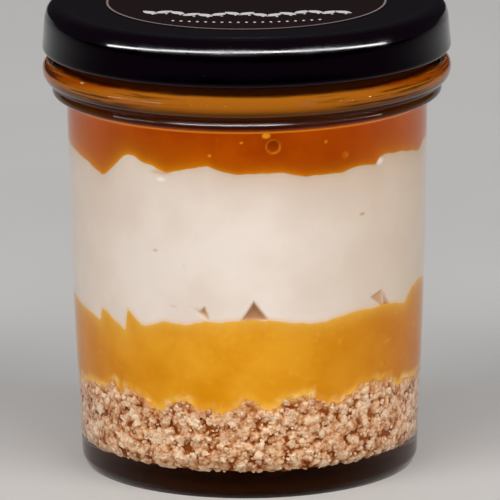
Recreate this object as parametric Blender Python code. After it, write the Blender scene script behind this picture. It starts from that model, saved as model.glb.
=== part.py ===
"""Layered mango and passion fruit dessert in a clear glass jar with a black twist-off lid.

The jar stands on z = 0 with its axis on the Z axis, and its front faces -Y.
Run it with: blender --background --python part.py
"""

import math

import bmesh
import bpy
from mathutils import Vector, noise

MM = 0.001

# Jar, in millimetres: outer radii up the body, then the bead below the lid and the neck
JAR_STEPS = 56
FOOT_RADIUS = 28.1
FOOT_WIDTH = 1.2
FLOOR_Z = 4.2
PUSH_UP = 1.5
BODY_LOW = (29.4, 4.4)
BODY_MIDDLE = (30.4, 27.8)
BODY_HIGH = (31.15, 61.7)
WALL = 2.3
BEAD_RADIUS = 35.3
BEAD_LOW_Z = 64.2
BEAD_WIDEST_Z = 69.0
BEAD_TOP_Z = 71.7
NECK_RADIUS = 32.9
NECK_BORE = 29.4
RIM_Z = 80.0

# Lid and its round label
LID_STEPS = 56
LID_RADIUS = 35.0
LID_TOP_Z = 81.0
LID_SHEET = 0.6
LID_SHOULDER = 2.4
LID_LOW_Z = 72.5
CURL = 0.7
LABEL_RADIUS = 24.4
LABEL_THICKNESS = 0.2

# Contents
FOOD_STEPS = 80
CLEARANCE = 0.3
GAP = 0.35
JELLY_TOP_Z = 73.0
CREAM_TOP_Z = 57.2
PUREE_TOP_Z = 30.4
CRUMB_TOP_Z = 15.8
CRUMB_SIZE = 1.4
RINGS = (0.0, 0.4, 0.72, 0.91, 1.0)
CRUMB_RINGS = (0.0, 0.18, 0.34, 0.5, 0.65, 0.79, 0.91, 1.0)

# Where a boundary between two layers rises or sinks at the glass: azimuth in degrees from
# the front, positive to the right, then height in millimetres and half width in degrees
CREAM_TOP_WAVES = (
    (-75, -0.8, 14), (-57, -2.0, 6), (-44, 2.2, 7), (-14, 1.2, 8), (25, -0.8, 14),
    (50, 0.9, 6), (62, 0.5, 8), (80, -0.9, 10), (-110, 0.8, 12), (-138, -1.1, 11),
    (-163, 1.0, 12), (122, 1.2, 14), (155, -1.1, 12),
)
PUREE_TOP_WAVES = (
    (-62, -2.1, 12), (-54, 1.1, 4), (-47, -1.2, 6), (-12, 0.5, 10), (3, -0.9, 5),
    (43, 0.9, 10), (52, 2.3, 5), (78, 3.1, 11), (-118, 1.1, 14), (-160, -1.0, 14),
    (112, 1.2, 14), (150, -1.4, 14),
)
CRUMB_TOP_WAVES = (
    (-72, -0.9, 6), (-50, 1.5, 9), (-35, -2.0, 5), (-21, 2.2, 6), (-12, -2.2, 5),
    (-1, 2.3, 5), (15, 2.6, 6), (26, -2.5, 5), (43, 2.4, 5), (62, -1.6, 10),
    (-95, 1.4, 8), (-118, -1.3, 7), (-140, 1.9, 8), (-168, -1.7, 9), (95, 1.5, 8),
    (116, -1.8, 7), (138, 1.8, 8), (160, -1.2, 7),
)


def clear_scene():
    for old in list(bpy.data.objects):
        bpy.data.objects.remove(old)


def make_material(name, colour, roughness, metallic=0.0, transmission=0.0, coat=0.0):
    material = bpy.data.materials.new(name)
    material.use_nodes = True
    shader = material.node_tree.nodes["Principled BSDF"]
    shader.inputs["Base Color"].default_value = (*colour, 1.0)
    shader.inputs["Roughness"].default_value = roughness
    shader.inputs["Metallic"].default_value = metallic
    shader.inputs["Transmission Weight"].default_value = transmission
    shader.inputs["Coat Weight"].default_value = coat
    material.diffuse_color = (*colour, 1.0)
    return material


def new_object(name, bm, material):
    """Turn a bmesh into a smooth-shaded object with one material."""
    bmesh.ops.recalc_face_normals(bm, faces=bm.faces)
    for face in bm.faces:
        face.smooth = True
    mesh = bpy.data.meshes.new(name)
    bm.to_mesh(mesh)
    bm.free()
    mesh.materials.append(material)
    obj = bpy.data.objects.new(name, mesh)
    bpy.context.scene.collection.objects.link(obj)
    return obj


def turned(profile, steps):
    """Spin a profile of (radius, height) points, which starts and ends on the axis."""
    bm = bmesh.new()
    points = [bm.verts.new((radius, 0.0, height)) for radius, height in profile]
    edges = [bm.edges.new(pair) for pair in zip(points, points[1:])]
    bmesh.ops.spin(
        bm,
        geom=points + edges,
        cent=(0, 0, 0),
        axis=(0, 0, 1),
        angle=math.tau,
        steps=steps,
        use_merge=True,
    )
    bmesh.ops.remove_doubles(bm, verts=bm.verts, dist=1e-6)
    return bm


def arc(centre_r, centre_z, radius, start, end, count):
    """Points on a quarter round of a profile, the angles in degrees from outwards."""
    points = []
    for i in range(count):
        angle = math.radians(start + (end - start) * i / (count - 1))
        points.append((centre_r + radius * math.cos(angle), centre_z + radius * math.sin(angle)))
    return points


def scaled(profile):
    return [(max(radius, 0.0) * MM, height * MM) for radius, height in profile]


def between(points, height):
    """Radius at a height, on straight lines between (radius, height) points."""
    low = points[0]
    for high in points[1:]:
        if height <= high[1]:
            share = (height - low[1]) / (high[1] - low[1])
            return low[0] + max(share, 0.0) * (high[0] - low[0])
        low = high
    return low[0]


def inner_profile():
    """The inside of the glass from its floor up to the neck."""
    corner_radius = 3.6
    corner_r = BODY_LOW[0] - WALL - corner_radius
    corner = arc(corner_r, FLOOR_Z + corner_radius, corner_radius, -90, 0, 5)
    return corner + [
        (BODY_MIDDLE[0] - WALL, BODY_MIDDLE[1]),
        (BODY_HIGH[0] - WALL, BODY_HIGH[1]),
        (NECK_BORE, BEAD_TOP_Z),
        (NECK_BORE + 0.2, RIM_Z - 1.6),
    ]


def bead_profile():
    """The wide rounded ring that stands out below the lid."""
    low_r = BODY_HIGH[0] + 0.1
    height = BEAD_WIDEST_Z - BEAD_LOW_Z
    depth = BEAD_RADIUS - low_r
    points = [(low_r, BEAD_LOW_Z - 0.6), (low_r + 0.3, BEAD_LOW_Z + 0.3)]
    for share in (0.35, 0.62, 0.84, 1.0):
        rise = 1.0 - math.sqrt(1.0 - share * share * 0.96)
        points.append((low_r + depth * share, BEAD_LOW_Z + 0.9 + (height - 0.9) * rise))
    top = BEAD_TOP_Z - BEAD_WIDEST_Z
    points.append((BEAD_RADIUS - 0.1, BEAD_WIDEST_Z + top * 0.45))
    points.append((BEAD_RADIUS - 0.8, BEAD_WIDEST_Z + top * 0.85))
    points.append((BEAD_RADIUS - 1.7, BEAD_TOP_Z))
    points.append((NECK_RADIUS + 0.1, BEAD_TOP_Z + 0.2))
    return points


def build_jar(material):
    foot_outer = FOOT_RADIUS + FOOT_WIDTH / 2
    foot_inner = FOOT_RADIUS - FOOT_WIDTH / 2
    under = [(0.0, PUSH_UP), (foot_inner - 5.0, PUSH_UP * 0.7), (foot_inner, 0.0)]
    heel = [(foot_outer, 0.0), (foot_outer + 0.45, 0.5), (BODY_LOW[0] - 0.08, 1.6)]
    body = [BODY_LOW, (29.75, 12.0), BODY_MIDDLE, (30.88, 45.7), BODY_HIGH]
    rim_r = (NECK_RADIUS + NECK_BORE) / 2
    neck = [(NECK_RADIUS, RIM_Z - 1.4), (NECK_RADIUS - 0.5, RIM_Z - 0.4), (rim_r, RIM_Z)]
    inside = [(NECK_BORE + 0.6, RIM_Z - 0.5)] + inner_profile()[::-1] + [(0.0, FLOOR_Z + 0.4)]
    profile = under + heel + body + bead_profile() + neck + inside
    return new_object("jar", turned(scaled(profile), JAR_STEPS), material)


def build_lid(material):
    shoulder_r = LID_RADIUS - LID_SHOULDER
    shoulder_z = LID_TOP_Z - LID_SHOULDER
    curl_r = LID_RADIUS - CURL + 0.3
    curl_z = LID_LOW_Z + CURL
    inner_r = LID_RADIUS - LID_SHEET
    top = [(0.0, LID_TOP_Z)]
    shoulder = arc(shoulder_r, shoulder_z, LID_SHOULDER, 90, 0, 6)
    curl = arc(curl_r, curl_z, CURL, 30, -200, 7)
    inner = arc(shoulder_r, shoulder_z, LID_SHOULDER - LID_SHEET, 0, 90, 4)
    profile = top + shoulder + [(LID_RADIUS, curl_z + 1.0)] + curl
    profile += [(inner_r, curl_z + 1.0)] + inner + [(0.0, LID_TOP_Z - LID_SHEET)]
    return new_object("lid", turned(scaled(profile), LID_STEPS), material)


def build_label(material):
    bottom_z = LID_TOP_Z + CLEARANCE
    bm = bmesh.new()
    bmesh.ops.create_cone(
        bm,
        cap_ends=True,
        segments=LID_STEPS,
        radius1=LABEL_RADIUS * MM,
        radius2=LABEL_RADIUS * MM,
        depth=LABEL_THICKNESS * MM,
    )
    obj = new_object("label", bm, material)
    obj.location.z = (bottom_z + LABEL_THICKNESS / 2) * MM
    for face in obj.data.polygons:
        face.use_smooth = False
    return obj


def wave(waves, azimuth):
    """Rise of a boundary at this azimuth, in millimetres."""
    total = 0.0
    for centre, height, width in waves:
        apart = (azimuth - centre + 180) % 360 - 180
        total += height * math.exp(-((apart / width) ** 2))
    return total


def unevenness(share, azimuth, cell, seed):
    """Smooth noise from -1 to 1 over the round area of a layer, cell in millimetres."""
    radius = share * (BODY_HIGH[0] - WALL) / cell
    angle = math.radians(azimuth)
    return noise.noise(Vector((radius * math.sin(angle), radius * math.cos(angle), seed)))


def cream_top(share, azimuth):
    edge = wave(CREAM_TOP_WAVES, azimuth) * share**4
    return CREAM_TOP_Z + edge + 0.5 * unevenness(share, azimuth, 9.0, 3.7)


def puree_top(share, azimuth):
    edge = wave(PUREE_TOP_WAVES, azimuth) * share**4
    return PUREE_TOP_Z + edge + 0.6 * unevenness(share, azimuth, 8.0, 11.3)


def crumb_top(share, azimuth):
    edge = wave(CRUMB_TOP_WAVES, azimuth) * share**3
    bumps = 1.1 * unevenness(share, azimuth, CRUMB_SIZE, 23.9)
    return CRUMB_TOP_Z + edge + bumps


def level(height):
    return lambda share, azimuth: height


def jelly_top(share, azimuth):
    """The set surface, drawn up a little where it meets the glass."""
    return JELLY_TOP_Z + 0.35 * share**12


def food_radius(height):
    return between(inner_profile(), height) - CLEARANCE


def build_layer(name, bottom, top, rings, rows, material, bumps=0.0):
    """A layer that fills the jar between two uneven surfaces.

    A unit cylinder is spun first. Each of its points is then moved to its place: its
    radius becomes a share of the jar's, and its height runs from one surface to the other.
    """
    sides = [(1.0, i / rows) for i in range(1, rows)]
    profile = [(r, 0.0) for r in rings] + sides + [(r, 1.0) for r in reversed(rings)]
    bm = turned(profile, FOOD_STEPS)
    for vert in bm.verts:
        share = math.hypot(vert.co.x, vert.co.y)
        azimuth = math.degrees(math.atan2(vert.co.x, -vert.co.y))
        low = bottom(share, azimuth)
        high = top(share, azimuth)
        height = low + vert.co.z * (high - low)
        radius = food_radius(height)
        if bumps and share > 0.99 and vert.co.z < 0.99:
            grain = Vector((azimuth * 0.35, height / CRUMB_SIZE, 5.1))
            radius -= bumps * (0.5 + 0.5 * noise.noise(grain))
        scale = share * radius / max(share, 1e-9)
        vert.co.x *= scale * MM
        vert.co.y *= scale * MM
        vert.co.z = height * MM
    # The shorter diagonal splits the two faces of a shared boundary alike
    bmesh.ops.triangulate(bm, faces=bm.faces, quad_method="SHORT_EDGE")
    return new_object(name, bm, material)


def lowered(surface):
    return lambda share, azimuth: surface(share, azimuth) - GAP / 2


def raised(surface):
    return lambda share, azimuth: surface(share, azimuth) + GAP / 2


def crumb_floor(share, azimuth):
    """Follows the domed glass floor and its rounded corner."""
    return FLOOR_Z + CLEARANCE + 0.45 * (1.0 - share)


def build_crumb_base(material):
    return build_layer(
        "crumb_base", crumb_floor, lowered(crumb_top), CRUMB_RINGS, 6, material, bumps=0.9
    )


def build_fruit_puree(material):
    return build_layer(
        "fruit_puree", raised(crumb_top), lowered(puree_top), CRUMB_RINGS, 4, material
    )


def build_cream(material):
    return build_layer("cream", raised(puree_top), lowered(cream_top), RINGS, 5, material)


def build_fruit_jelly(material):
    return build_layer("fruit_jelly", raised(cream_top), jelly_top, RINGS, 4, material)


def main():
    clear_scene()
    glass = make_material("jar", (0.93, 0.96, 0.95), 0.03, transmission=1.0)
    lacquer = make_material("lid", (0.008, 0.006, 0.008), 0.22, metallic=0.0, coat=0.6)
    paper = make_material("label", (0.017, 0.009, 0.009), 0.45)
    jelly = make_material("fruit_jelly", (0.46, 0.075, 0.003), 0.12)
    cream = make_material("cream", (0.86, 0.74, 0.63), 0.5)
    puree = make_material("fruit_puree", (0.78, 0.32, 0.02), 0.3)
    crumbs = make_material("crumb_base", (0.55, 0.29, 0.15), 0.85)
    build_jar(glass)
    build_lid(lacquer)
    build_label(paper)
    build_fruit_jelly(jelly)
    build_cream(cream)
    build_fruit_puree(puree)
    build_crumb_base(crumbs)


main()
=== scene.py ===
# %% [markdown]
# # A layered mango and passion fruit dessert in a glass jar
#
# The real thing is a straight glass jar about 80 mm high with a black twist-off lid. Four layers
# show through its wall: biscuit crumbs, amber fruit puree, thick cream and a deep orange jelly.
# The measured solids come first and stay as they are. Everything below is built around them, in
# metres, with the jar's axis on Z and its front facing -Y.

import math
import random

import bmesh
import bpy
import numpy as np
from mathutils import Matrix, Vector, noise


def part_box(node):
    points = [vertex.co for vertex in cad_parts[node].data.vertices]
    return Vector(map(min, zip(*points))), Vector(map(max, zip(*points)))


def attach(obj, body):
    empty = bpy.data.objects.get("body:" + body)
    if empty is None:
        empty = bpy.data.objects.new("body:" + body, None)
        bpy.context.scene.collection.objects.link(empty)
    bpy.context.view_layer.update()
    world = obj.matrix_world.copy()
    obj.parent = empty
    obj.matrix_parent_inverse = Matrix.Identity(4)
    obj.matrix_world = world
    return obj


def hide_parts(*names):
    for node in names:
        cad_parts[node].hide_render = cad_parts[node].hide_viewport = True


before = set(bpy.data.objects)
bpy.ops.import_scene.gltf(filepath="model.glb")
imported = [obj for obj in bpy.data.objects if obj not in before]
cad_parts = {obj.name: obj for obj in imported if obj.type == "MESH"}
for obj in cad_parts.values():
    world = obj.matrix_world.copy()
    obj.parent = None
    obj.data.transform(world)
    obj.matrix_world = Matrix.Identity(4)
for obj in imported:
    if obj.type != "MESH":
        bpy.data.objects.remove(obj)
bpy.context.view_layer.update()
MM = 0.001
for node_name in sorted(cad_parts):
    low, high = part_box(node_name)
    print(node_name, "from", round(low.z / MM, 1), "to", round(high.z / MM, 1), "mm")

# %% [markdown]
# ## Writing materials as sums
#
# A material is easier to read as an expression than as a list of nodes. A small class holds one
# output socket, and its operators add Math nodes, so that 1 - mask means what it says. A second
# class holds a material with its Principled shader and makes every other kind of node.


# %% A number that changes over a surface
class Amount:
    def __init__(self, finish, socket):
        self.finish = finish
        self.socket = socket

    def math(self, operation, *values):
        return self.finish.node("ShaderNodeMath", {"operation": operation}, dict(enumerate(values)))

    def __add__(self, other):
        return self.math("ADD", self, other)

    def __radd__(self, other):
        return self.math("ADD", other, self)

    def __sub__(self, other):
        return self.math("SUBTRACT", self, other)

    def __rsub__(self, other):
        return self.math("SUBTRACT", other, self)

    def __mul__(self, other):
        return self.math("MULTIPLY", self, other)

    def __rmul__(self, other):
        return self.math("MULTIPLY", other, self)

    def __truediv__(self, other):
        return self.math("DIVIDE", self, other)

    def __pow__(self, other):
        return self.math("POWER", self, other)

    def clamped(self):
        return self.finish.node("ShaderNodeClamp", None, {"Value": self}, "Result")

    def ramp(self, low, high, to_low=0.0, to_high=1.0):
        """Smooth step from one value to another, clamped at both ends."""
        settings = {"interpolation_type": "SMOOTHSTEP", "clamp": True}
        values = {"Value": self, "From Min": low, "From Max": high}
        values.update({"To Min": to_low, "To Max": to_high})
        return self.finish.node("ShaderNodeMapRange", settings, values, "Result")


# %% A material
class Finish:
    def __init__(self, name, **uniform):
        self.material = bpy.data.materials.new(name)
        self.material.use_nodes = True
        self.tree = self.material.node_tree
        self.shader = self.tree.nodes["Principled BSDF"]
        for label, value in uniform.items():
            self.shader.inputs[label.replace("_", " ")].default_value = value

    def fill(self, socket, value):
        if isinstance(value, Amount):
            self.tree.links.new(value.socket, socket)
        elif isinstance(value, tuple) and len(value) == 3 and socket.type == "RGBA":
            socket.default_value = (*value, 1.0)
        else:
            socket.default_value = value

    def node(self, kind, settings=None, values=None, output=0):
        """Add a node: its settings first, then the values or links of its sockets."""
        made = self.tree.nodes.new(kind)
        for label, value in (settings or {}).items():
            setattr(made, label, value)
        for label, value in (values or {}).items():
            self.fill(made.inputs[label], value)
        return Amount(self, made.outputs[output])

    def place(self):
        return self.node("ShaderNodeTexCoord", output="Object")

    def noise(self, size_mm, detail=2.0, roughness=0.5, stretch=(1.0, 1.0, 1.0)):
        """Cloudy noise from 0 to 1 with features about this large."""
        where = self.node(
            "ShaderNodeVectorMath",
            {"operation": "MULTIPLY"},
            {0: self.place(), 1: tuple(s / (size_mm * MM) for s in stretch)},
            "Vector",
        )
        values = {"Vector": where, "Scale": 1.0, "Detail": detail, "Roughness": roughness}
        return self.node("ShaderNodeTexNoise", None, values, "Fac")

    def dots(self, size_mm, randomness=1.0):
        """Distance from scattered points, in cells about this large."""
        values = {"Vector": self.place(), "Scale": 1.0 / (size_mm * MM), "Randomness": randomness}
        return self.node("ShaderNodeTexVoronoi", None, values, "Distance")

    def axis(self, letter):
        """One coordinate of the surface's place, in metres."""
        return self.node("ShaderNodeSeparateXYZ", None, {0: self.place()}, letter)

    def curve(self, share, points):
        """A number from 0 to 1 read off a broken line through these points."""
        made = self.tree.nodes.new("ShaderNodeValToRGB")
        while len(made.color_ramp.elements) < len(points):
            made.color_ramp.elements.new(0.5)
        for element, (place, value) in zip(made.color_ramp.elements, points):
            element.position = place
            element.color = (value, value, value, 1.0)
        self.fill(made.inputs["Fac"], share)
        return Amount(self, made.outputs["Color"])

    def stored(self, name):
        """A number kept on the mesh's points."""
        return self.node("ShaderNodeAttribute", {"attribute_name": name}, None, "Fac")

    def mix(self, share, first, second):
        """Blend two colours."""
        settings = {"data_type": "RGBA", "clamp_factor": True}
        made = self.tree.nodes.new("ShaderNodeMix")
        for label, value in settings.items():
            setattr(made, label, value)
        self.fill(made.inputs["Factor"], share)
        self.fill(made.inputs[6], first)
        self.fill(made.inputs[7], second)
        return Amount(self, made.outputs[2])

    def bump(self, height, strength, depth_mm):
        values = {"Height": height, "Strength": strength, "Distance": depth_mm * MM}
        return self.node("ShaderNodeBump", None, values, "Normal")

    def use(self, **inputs):
        for label, value in inputs.items():
            self.fill(self.shader.inputs[label.replace("_", " ")], value)
        return self.material


def srgb(red, green, blue):
    """A colour named by its screen values, as the linear values that shaders take."""
    values = []
    for level in (red, green, blue):
        share = level / 255
        low = share / 12.92
        values.append(low if share <= 0.04045 else ((share + 0.055) / 1.055) ** 2.4)
    return tuple(values)


# %% [markdown]
# ## The glass jar
#
# A jar is blown in a mould and comes out round, so it could be built from stacked cylinders, but
# one profile spun round the axis gives it in one closed skin. The profile runs from the pushed-up
# underside over the foot, the heel and the slightly conical body to the wide bead, up the neck
# under the lid, over the rim and down the inside to the thick floor.

# %% Sizes of the jar in millimetres
WALL = 2.3
FLOOR_Z = 4.2
# Radius and height of the outside, from the heel up to the bead
BODY = ((29.4, 4.4), (30.4, 27.8), (30.88, 45.7), (31.15, 61.7))
BEAD_TOP_Z = 71.7
NECK = 32.9
BORE = 29.4
RIM_Z = 80.0
JAR_STEPS = 180


# %% Helpers for profiles
def arc(centre_r, centre_z, radius, start, end, count, squash=1.0):
    """Points of a round part of a profile, with angles in degrees from outwards."""
    points = []
    for i in range(count):
        angle = math.radians(start + (end - start) * i / (count - 1))
        rise = radius * squash * math.sin(angle)
        points.append((centre_r + radius * math.cos(angle), centre_z + rise))
    return points


def inner_corner():
    radius = 3.6
    return arc(BODY[0][0] - WALL - radius, FLOOR_Z + radius, radius, -90, 0, 10)


INSIDE = inner_corner() + [
    (BODY[1][0] - WALL, BODY[1][1]),
    (BODY[3][0] - WALL, BODY[3][1]),
    (BORE, BEAD_TOP_Z),
    (BORE + 0.2, RIM_Z - 1.6),
]


def inner_radius(heights):
    """Radius of the inside of the glass at these heights, all in millimetres."""
    return np.interp(heights, [z for r, z in INSIDE], [r for r, z in INSIDE])


def spin(profile, steps):
    """Turn a profile of (radius, height) millimetres round the axis into a closed bmesh."""
    bm = bmesh.new()
    points = [bm.verts.new((max(r, 0.0) * MM, 0.0, z * MM)) for r, z in profile]
    edges = [bm.edges.new(pair) for pair in zip(points, points[1:])]
    bmesh.ops.spin(
        bm,
        geom=points + edges,
        cent=(0, 0, 0),
        axis=(0, 0, 1),
        angle=math.tau,
        steps=steps,
        use_merge=True,
    )
    bmesh.ops.remove_doubles(bm, verts=bm.verts, dist=1e-7)
    bmesh.ops.recalc_face_normals(bm, faces=bm.faces)
    return bm


def as_mesh(bm, name):
    """Turn a bmesh into a mesh."""
    mesh = bpy.data.meshes.new(name)
    bm.to_mesh(mesh)
    bm.free()
    return mesh


def placed(mesh, name, material, slot, *nodes):
    """Turn a mesh into a piece that stands for some of the solids."""
    mesh.materials.append(material)
    piece = bpy.data.objects.new(name, mesh)
    bpy.context.scene.collection.objects.link(piece)
    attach(piece, "root")
    if nodes:
        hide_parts(*nodes)
    mesh.calc_loop_triangles()
    print(name, len(mesh.loop_triangles), "triangles")
    return piece


def finished(bm, name, material, slot, *nodes):
    """Turn a bmesh into a smooth piece."""
    for face in bm.faces:
        face.smooth = True
    return placed(as_mesh(bm, name), name, material, slot, *nodes)


# %% [markdown]
# ### Clear glass
#
# Glass bends light, which is why the food seems to fill the jar to its very edge. Light from the
# lamps would be lost on its way through, so rays of shadow and of soft light pass straight
# through a Transparent shader instead. The thick bead carries painted shade as a tint of the
# glass that changes with height: dark bands under the lid and at its own foot, and thin dark
# threads towards both ends, a painted reflection of a dark room. The thick floor of the glass is
# tinted dark too, a painted reflection of a dark table.
# The small ridge below the bead carries one bright line, from a thin glossy coat.

# %% The glass
# Height in millimetres, then how much the painted shade lets through there
SHADE_BANDS = (
    (64.95, 1.0), (65.3, 0.12), (65.6, 0.05), (65.85, 0.01), (66.5, 0.006), (66.9, 0.01),
    (67.1, 0.004), (67.4, 0.0), (67.7, 0.003), (67.95, 0.018), (68.3, 0.03), (68.6, 0.06),
    (68.9, 0.2), (69.25, 0.46), (69.7, 0.76), (70.3, 0.9), (70.75, 1.0), (71.0, 1.0),
    (71.25, 1.0), (71.36, 0.25), (71.48, 0.027), (71.6, 0.0),
)


# The first three: glass darkened by painted shade, clear glass, the floor's painted dark reflection
PAINTED_SHADE_GLASS = (0.003, 0.0015, 0.004)
PURE_GLASS = (0.985, 0.995, 0.99)
PAINTED_DARK_BASE = (0.1, 0.09, 0.12)
FAINT_MIRROR = (0.03, 0.03, 0.03, 1.0)


def bead_shade(look, height, across):
    """Painted shade: dark bands by height, and dark threads towards both ends of the bead."""
    streak = look.noise(9.0, detail=3.0, roughness=0.6, stretch=(1.0, 1.0, 9.0))
    level = height + streak * 0.5 - 0.25
    low, high = SHADE_BANDS[0][0], SHADE_BANDS[-1][0]
    share = ((level - low) / (high - low)).clamped()
    shade = look.curve(share, [((z - low) / (high - low), value) for z, value in SHADE_BANDS])
    threads = look.noise(15.0, detail=3.0, roughness=0.65, stretch=(1.0, 1.0, 34.0))
    ends = across.ramp(7.0, 19.0) + across.ramp(-7.0, -19.0)
    in_bead = height.ramp(67.4, 68.0) * height.ramp(71.5, 71.0)
    return shade * (1.0 - threads.ramp(0.5, 0.6) * ends * in_bead * 0.93)


def clear_glass():
    look = Finish(
        "clear_glass",
        Roughness=0.0,
        IOR=1.5,
        Transmission_Weight=1.0,
        Coat_Roughness=0.14,
        Specular_Tint=FAINT_MIRROR,
    )
    height = look.axis("Z") / MM
    across = look.axis("X") / MM
    # Painted shade and painted dark reflection in the bead, as a tint of the glass
    colour = look.mix(bead_shade(look, height, across), PAINTED_SHADE_GLASS, PURE_GLASS)
    # Painted dark reflection in the thick floor of the glass, below 4.4 mm
    colour = look.mix(height.ramp(4.4, 3.4) * 0.55, colour, PAINTED_DARK_BASE)
    ridge = height.ramp(66.1, 66.25) * height.ramp(66.8, 66.65)
    ridge = ridge * across.ramp(-15.5, -10.0) * across.ramp(9.0, 4.0)
    ripple = look.noise(14.0, detail=1.0)
    look.use(Base_Color=colour, Coat_Weight=ridge * 0.36, Normal=look.bump(ripple, 0.05, 1.0))
    tree = look.tree
    clear = look.node("ShaderNodeBsdfTransparent", None, {"Color": (0.96, 0.975, 0.965)})
    path = tree.nodes.new("ShaderNodeLightPath")
    surface = look.shader.outputs["BSDF"]
    for ray in ("Is Shadow Ray", "Is Diffuse Ray"):
        mixer = tree.nodes.new("ShaderNodeMixShader")
        tree.links.new(path.outputs[ray], mixer.inputs[0])
        tree.links.new(surface, mixer.inputs[1])
        tree.links.new(clear.socket, mixer.inputs[2])
        surface = mixer.outputs[0]
    tree.links.new(surface, tree.nodes["Material Output"].inputs["Surface"])
    return look.material


# %% The jar's profile
def jar_profile():
    """Radius and height all the way round the wall, in millimetres."""
    under = [(0.0, 1.5), (10.0, 1.42), (20.0, 1.05), (24.5, 0.6), (26.8, 0.15), (27.5, 0.0)]
    heel = [(28.7, 0.0)] + arc(27.6, 1.85, 1.72, -50, 0, 5, squash=1.05)[1:]
    body = [BODY[0], (29.56, 9.85), (29.98, 18.0), BODY[1], (30.66, 36.5), BODY[2], BODY[3]]
    fillet = [(31.2, 63.6), (31.28, 64.3), (31.5, 64.8), (31.95, 65.1), (32.55, 65.28)]
    ridge = arc(33.0, 66.0, 0.68, -75, 0, 6) + [(33.67, 66.15), (33.61, 66.38), (33.55, 66.61)]
    crease = [(33.47, 66.84), (33.42, 67.05), (33.6, 67.35), (34.05, 67.72)]
    low_side = crease + arc(32.9, 69.6, 2.395, -42, 0, 6)
    high_side = arc(33.1, 69.7, 2.2, 4, 78, 9, squash=0.9)
    shoulder = [(33.2, 71.8), (NECK, 71.98)]
    rim = arc((NECK + BORE) / 2 + 0.15, RIM_Z - 1.5, 1.6, 0, 180, 12, squash=0.9375)
    inside = INSIDE[::-1]
    return under + heel + body + fillet + ridge + low_side + high_side + shoulder + rim + inside


def build_jar():
    profile = jar_profile() + [(16.0, FLOOR_Z + 0.12), (0.0, FLOOR_Z + 0.4)]
    return finished(spin(profile, JAR_STEPS), "glass_jar", clear_glass(), "jar", "jar")


glass_jar = build_jar()

# %% [markdown]
# ## The lid
#
# The lid is pressed from thin steel and lacquered black. Its edge is a rounded shoulder, a short
# skirt and a curl rolled under it. It is one closed shell, turned like the jar. Between shoulder
# and skirt runs a narrow facet whose tilt sends the strip lamps to the eye as one long line. The
# lacquer is glossy, with the faint orange peel and the few specks of dust of a real one. On the
# skirt it counts as almost black metal, which mirrors far less of a pale room than lacquer does.


# %% Black lacquer
def black_lacquer():
    """Glossy near-black, with the skirt's height in millimetres picked out."""
    look = Finish("black_lacquer", IOR=1.5, Specular_IOR_Level=0.2)
    smudge = look.noise(9.0, detail=4.0, roughness=0.6)
    peel = look.noise(0.5, detail=1.0)
    specks = look.dots(2.6).ramp(0.045, 0.02)
    level = look.axis("Z") / MM
    skirt = level.ramp(73.3, 73.8) * level.ramp(78.75, 78.35)
    deep = look.mix(skirt, (0.0035, 0.0015, 0.0035), (0.004, 0.0015, 0.004))
    colour = look.mix(specks * 0.35, deep, (0.1, 0.09, 0.095))
    return look.use(
        Base_Color=colour,
        Metallic=skirt,
        Roughness=smudge.ramp(0.3, 0.75, 0.07, 0.15),
        Normal=look.bump(peel, 0.008, 0.1),
    )


# %% The lid's shell
LID_RADIUS = 35.0
LID_TOP_Z = 81.0
SHEET = 0.45
PRESSED = 0.12
LID_LOW_Z = 73.0
CURL = 0.62


def build_lid():
    curl_r = LID_RADIUS - CURL + 0.28
    curl_z = LID_LOW_Z + CURL
    panel = [(0.0, LID_TOP_Z - PRESSED), (22.0, LID_TOP_Z - PRESSED), (30.6, LID_TOP_Z - PRESSED)]
    panel += [(31.4, LID_TOP_Z - 0.03), (32.2, LID_TOP_Z)]
    shoulder = arc(32.85, 79.1, 1.85, 78, 33, 8) + [(34.49, 79.91), (34.547, 79.74)]
    facet = [(34.61, 79.52), (34.67, 79.3), (34.725, 79.08), (34.782, 78.83), (34.838, 78.53)]
    skirt = [(34.902, 78.1), (34.98, 77.3), (35.04, 76.4), (35.1, 75.5), (35.18, 74.6)]
    skirt += [(35.25, 73.95)]
    curl = arc(curl_r, curl_z, CURL, 4, -205, 14)
    inner_r = LID_RADIUS - SHEET
    inner_skirt = [(inner_r - 0.25, curl_z + 1.0), (inner_r, curl_z + 1.6), (inner_r, 78.0)]
    inner = arc(32.85, 78.7, 1.6, 10, 85, 7) + [(0.0, LID_TOP_Z - SHEET - PRESSED)]
    profile = panel + shoulder + facet + skirt + curl + inner_skirt + inner
    return finished(spin(profile, JAR_STEPS), "twist_lid", black_lacquer(), "lid", "lid")


twist_lid = build_lid()

# %% [markdown]
# ### A skin for the flat top
#
# On a real lid the sunken top is part of the same pressed sheet. Here it gets a skin a hair
# thick, with the same lacquer, for the sake of the light alone: a lamp can be kept off a whole
# piece, but not off a part of one. A duller finish on the top would have been the other way, but
# the top would then have lost its gloss from every side.

# %% The lid's sunken panel
PANEL_RADIUS = 30.6
SKIN = 0.02


def build_panel():
    """The lacquered skin of the flat top, so that it can be lit on its own."""
    low_z = LID_TOP_Z - PRESSED
    high_z = low_z + SKIN
    profile = [(0.0, low_z), (PANEL_RADIUS, low_z), (PANEL_RADIUS, high_z), (0.0, high_z)]
    lacquer = twist_lid.data.materials[0]
    piece = finished(spin(profile, JAR_STEPS), "lid_panel", lacquer, "lid", "lid")
    for face in piece.data.polygons:
        face.use_smooth = False
    return piece


lid_panel = build_panel()

# %% [markdown]
# ## The label on the lid
#
# A round sticker of dark brown coated paper with a hairline border lies on the lid. The border is
# part of the paper's colour, because ink has no height. The print inside it is a plain garland of
# leaves and dots. Its shapes are small and sharp, so they are cut as very thin pieces instead.

# %% Printed paper
LABEL_RADIUS = 24.4
PAPER = 0.12
LABEL_STEPS = 160


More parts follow.
